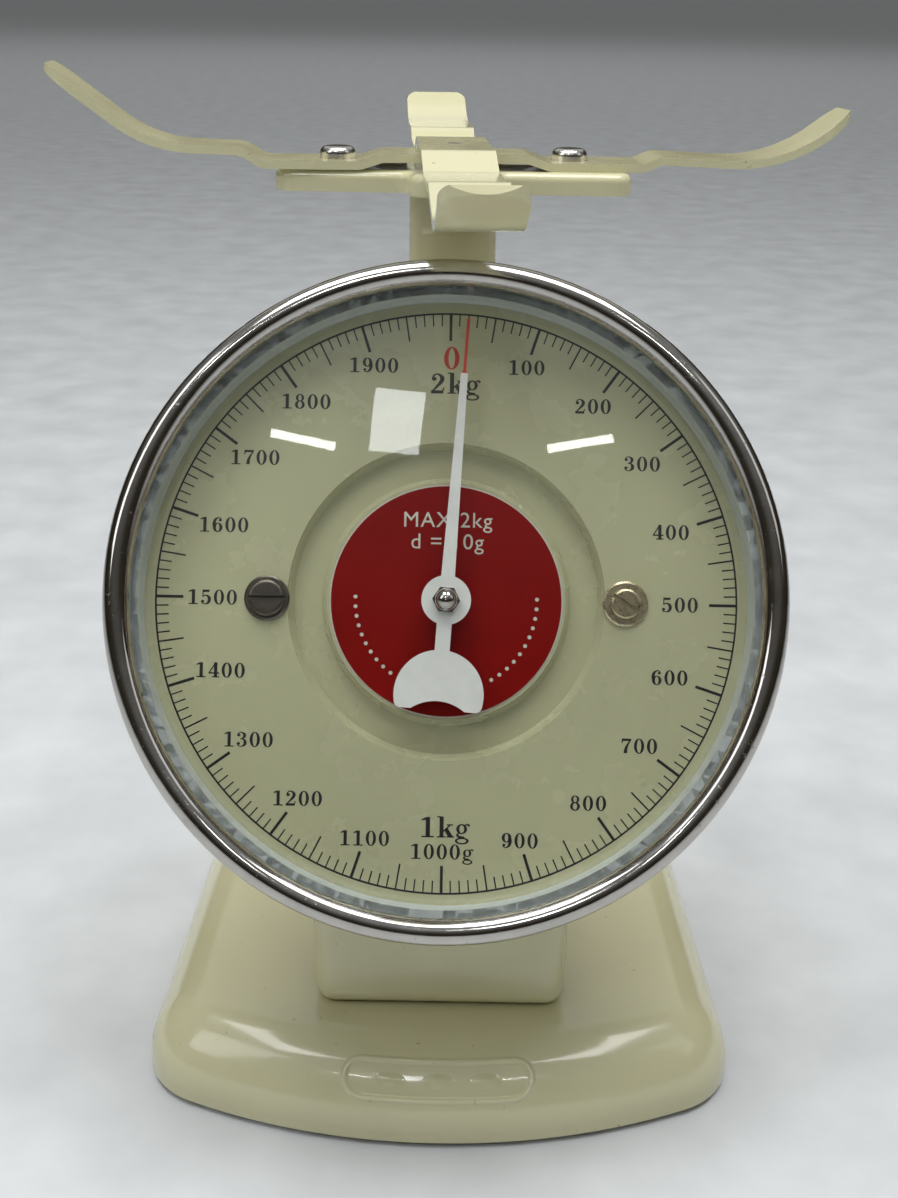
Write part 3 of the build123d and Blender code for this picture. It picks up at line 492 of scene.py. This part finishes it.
def write(ink, text, x, y, height):
    """Upright characters centred on (x, y)."""
    across = GLYPH_STRETCH * height
    width = (GLYPH_STEP * (len(text) - 1) + GLYPH_WIDTH) * across
    for i, character in enumerate(text):
        left = x - width / 2 + i * GLYPH_STEP * across
        ink.place(glyph(character), across, height, left, y - height / 2)


def round_dial(radius, share):
    """(x, y) at a share of a turn clockwise from the top."""
    angle = 2 * pi * share
    return radius * sin(angle), radius * cos(angle)


# ---------------------------------------------------------------- dial print
def make_ticks():
    ink = Ink()
    for step in range(200):
        share = step / 200
        if step % 10 == 0:
            length, width = TICK_100_G, 0.62
        elif step % 5 == 0:
            length, width = TICK_50_G, 0.34
        else:
            length, width = TICK_10_G, 0.28
        x0, y0 = round_dial(TICK_OUTER, share)
        x1, y1 = round_dial(TICK_OUTER - length, share)
        ink.stroke((x0, y0, width), (x1, y1, width))
    ink.piece("dial_ticks", INK_BLACK, "housing", "dial_enamel")

    line = Ink()
    outer, inner = TICK_OUTER + 0.22, TICK_OUTER - 0.18
    line.ring(0, 0, outer, outer, inner, inner, count=360)
    line.piece("dial_outer_line", INK_BLACK, "housing", "dial_enamel", height=INK_HEIGHT + 0.01)


def make_numbers():
    radius_at_top, pulled_in_at_sides = 54.0, 3.5
    ink = Ink()
    for grams in range(100, 2000, 100):
        if grams == 1000:
            continue
        share = grams / 2000
        sideways = abs(sin(2 * pi * share))
        x, y = round_dial(radius_at_top - pulled_in_at_sides * sideways ** 2.5, share)
        write(ink, str(grams), x, y, DIGIT_HEIGHT)
    write(ink, "1000g", 0, -53.8, DIGIT_HEIGHT)
    write(ink, "1kg", 0.6, -48.6, 4.3)
    write(ink, "2kg", 1.2, 47.4, 4.4)
    ink.piece("dial_numbers", INK_BLACK, "housing", "dial_enamel")

    zero = Ink()
    write(zero, "0", 0.3, 53.0, 4.9)
    zero.piece("dial_zero", INK_RED, "housing", "dial_enamel")


def make_disc_print():
    """Pale edge line, two generic lines of print and a plain dotted arc on the red disc."""
    disc_top = 0.3 + INK_HEIGHT
    edge = Ink()
    edge.ring(0, 0, DISC_RADIUS + 0.35, DISC_RADIUS + 0.35, DISC_RADIUS, DISC_RADIUS, count=160)
    edge.piece("disc_edge_line", INK_PALE, "housing", "red_print")

    lines = (("disc_print_upper", "MAX 2kg", 17.4), ("disc_print_lower", "d = 10g", 12.7))
    for name, text, height in lines:
        curve = bpy.data.curves.new(name, "FONT")
        curve.body = text
        curve.size = 4.7 * MM
        curve.space_character = 1.1
        curve.align_x = "CENTER"
        curve.align_y = "CENTER"
        letters = bpy.data.objects.new(name + "_curve", curve)
        bpy.context.scene.collection.objects.link(letters)
        depsgraph = bpy.context.evaluated_depsgraph_get()
        flat = bpy.data.meshes.new_from_object(letters.evaluated_get(depsgraph))
        verts = [DIAL @ (v.co + Vector((0, height * MM, disc_top * MM))) for v in flat.vertices]
        faces = [tuple(p.vertices) for p in flat.polygons]
        bpy.data.objects.remove(letters)
        add_piece(name, verts, faces, INK_PALE, "housing")

    dots = Ink()
    for side in (-1, 1):
        for i in range(11):
            x, y = round_dial(19.6, 0.5 + side * (0.085 + 0.017 * i))
            dots.ball(x, y, 0.42)
    dots.piece("disc_dotted_arc", INK_PALE, "housing", "red_print", height=disc_top)


# ---------------------------------------------------------------- embossed ornament on the base
def make_emblem():
    """A raised oval line with three bosses, pressed into the rolled front edge of the base."""
    cover = frame["nodes"]["base_cover"].data
    tree = BVHTree.FromPolygons([v.co for v in cover.vertices], [p.vertices for p in cover.polygons])
    roll = 16.0 * MM
    roll_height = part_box("base_cover")[1].z - roll
    half_long, half_high = 23.5, 6.0
    oval_long, oval_high = 21.4, 4.4
    middle_angle = radians(43)
    ridge_height, ridge_width = 0.8, 0.7
    boss_height, boss_long, boss_high = 0.7, 2.6, 1.3
    sunk = 0.10                 # the patch's edge lies this far under the enamel
    columns, rows = 180, 48
    verts = []
    for i in range(columns + 1):
        s = half_long * (2 * i / columns - 1)
        front = tree.ray_cast(Vector((s * MM, -0.3, roll_height)), Vector((0, 1, 0)))[0]
        centre = Vector((s * MM, front.y + roll, roll_height))
        for j in range(rows + 1):
            t = half_high * (2 * j / rows - 1)
            angle = middle_angle + t * MM / roll
            out = Vector((0, -cos(angle), sin(angle)))
            hit = tree.ray_cast(centre + out * 0.05, -out)[0]
            line = hypot(max(abs(s) - (oval_long - oval_high), 0), t) - oval_high
            ridge = ridge_height * exp(-(line / ridge_width) ** 2)
            for boss in (-11.0, 0.0, 11.0):
                bump = boss_height * exp(-((s - boss) / boss_long) ** 2 - (t / boss_high) ** 2)
                ridge = max(ridge, bump)
            verts.append(hit + out * ((ridge - sunk) * MM))
    faces = []
    for i in range(columns):
        for j in range(rows):
            a = i * (rows + 1) + j
            faces.append((a, a + rows + 1, a + rows + 2, a + 1))
    add_piece("base_emblem", verts, faces, MATERIALS["enamel"], "housing", smooth=True)


# ---------------------------------------------------------------- load springs, each cut into two halves
def make_springs():
    """The two load springs hang from the hanger and are drawn out by the platform's lower bar.

    Each is cut at its middle into an upper and a lower half, which take the place of the whole spring.
    """
    for side in ("left", "right"):
        node = frame["nodes"]["spring_" + side]
        low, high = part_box("spring_" + side)
        middle = (low + high) / 2
        top = (middle.x, middle.y, high.z - SPRING_LOOP * MM)
        bottom = (middle.x, middle.y, low.z + SPRING_LOOP * MM)
        halves = (("upper", "hanger", top), ("lower", "platform", bottom))
        for half, mover, far in halves:
            mesh = node.data.copy()
            mesh.transform(node.matrix_world)
            cut = bmesh.new()
            cut.from_mesh(mesh)
            others = [f for f in cut.faces
                      if (f.calc_center_median().z >= middle.z) != (half == "upper")]
            bmesh.ops.delete(cut, geom=others, context="FACES")
            cut.to_mesh(mesh)
            cut.free()
            spring = bpy.data.objects.new(f"{half}_spring_{side}", mesh)
            bpy.context.scene.collection.objects.link(spring)
            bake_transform(spring)
            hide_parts("spring_" + side)


# ---------------------------------------------------------------- floor, light and camera
def area_light(name, place, target, size, size_y, power, colour=(1, 1, 1)):
    data = bpy.data.lights.new(name, "AREA")
    data.shape = "RECTANGLE"
    data.size = size
    data.size_y = size_y
    data.energy = power
    data.color = colour
    lamp = bpy.data.objects.new(name, data)
    lamp.location = place
    lamp.rotation_euler = (Vector(target) - Vector(place)).to_track_quat("-Z", "Y").to_euler()
    bpy.context.scene.collection.objects.link(lamp)


def make_stage():
    floor_material = plain("pale_floor", (0.66, 0.68, 0.69), 0.45, grain=30, bump=0.0002)
    mesh = bpy.data.meshes.new("floor")
    reach = 1500.0
    mesh.from_pydata([(-reach, -reach, 0), (reach, -reach, 0), (reach, reach, 0), (-reach, reach, 0)], [],
                     [(0, 1, 2, 3)])
    mesh.materials.append(floor_material)
    floor = bpy.data.objects.new("floor", mesh)
    bpy.context.scene.collection.objects.link(floor)

    world = bpy.data.worlds.new("studio")
    world.use_nodes = True
    tree = world.node_tree
    direction = tree.nodes.new("ShaderNodeTexCoord")
    height = tree.nodes.new("ShaderNodeSeparateXYZ")
    tree.links.new(direction.outputs["Generated"], height.inputs[0])
    sky = ramp(tree, height.outputs["Z"], [(0.0, (0.05, 0.042, 0.028)), (0.35, (0.09, 0.078, 0.06)),
                                           (1.0, (0.75, 0.78, 0.80))])
    background = tree.nodes["Background"]
    tree.links.new(sky.outputs[0], background.inputs["Color"])
    background.inputs["Strength"].default_value = 0.5
    bpy.context.scene.world = world
    bpy.context.scene.view_settings.view_transform = "Standard"

    aim = (0, -0.05, 0.1)
    window_tint = (0.97, 0.98, 1)
    area_light("overhead", (0.0, -0.12, 1.5), (0, 0, 0.1), 1.4, 0.8, 20)
    area_light("window_left", (-1.1, -0.7, 1.1), aim, 0.5, 0.9, 3.4, window_tint)
    area_light("window_right", (1.2, -0.4, 1.0), aim, 0.5, 0.8, 1.0, window_tint)
    area_light("window_front", (-0.21, -1.45, 1.66), aim, 0.20, 0.26, 2.2, (0.95, 0.98, 1))
    area_light("back_fill", (0, 4.5, 3.0), (0, 4.5, 0), 6.0, 5.0, 40)
    area_light("tube_left", (-0.52, -1.3, 1.42), aim, 0.24, 0.03, 0.6)
    area_light("tube_right", (0.46, -1.3, 1.42), aim, 0.24, 0.03, 0.6)


def make_camera():
    data = bpy.data.cameras.new("camera")
    data.sensor_fit = "HORIZONTAL"
    data.sensor_width = 36
    data.lens = CAMERA_LENS
    data.clip_start = 0.01
    camera = bpy.data.objects.new("camera", data)
    pitch = Matrix.Rotation(radians(90 - CAMERA_PITCH_DOWN), 4, "X")
    roll = Matrix.Rotation(radians(CAMERA_ROLL), 4, "Z")
    camera.matrix_world = Matrix.Translation(CAMERA_PLACE) @ pitch @ roll
    bpy.context.scene.collection.objects.link(camera)
    bpy.context.scene.camera = camera


make_ticks()
make_numbers()
make_disc_print()
make_emblem()
make_springs()
make_stage()
make_camera()
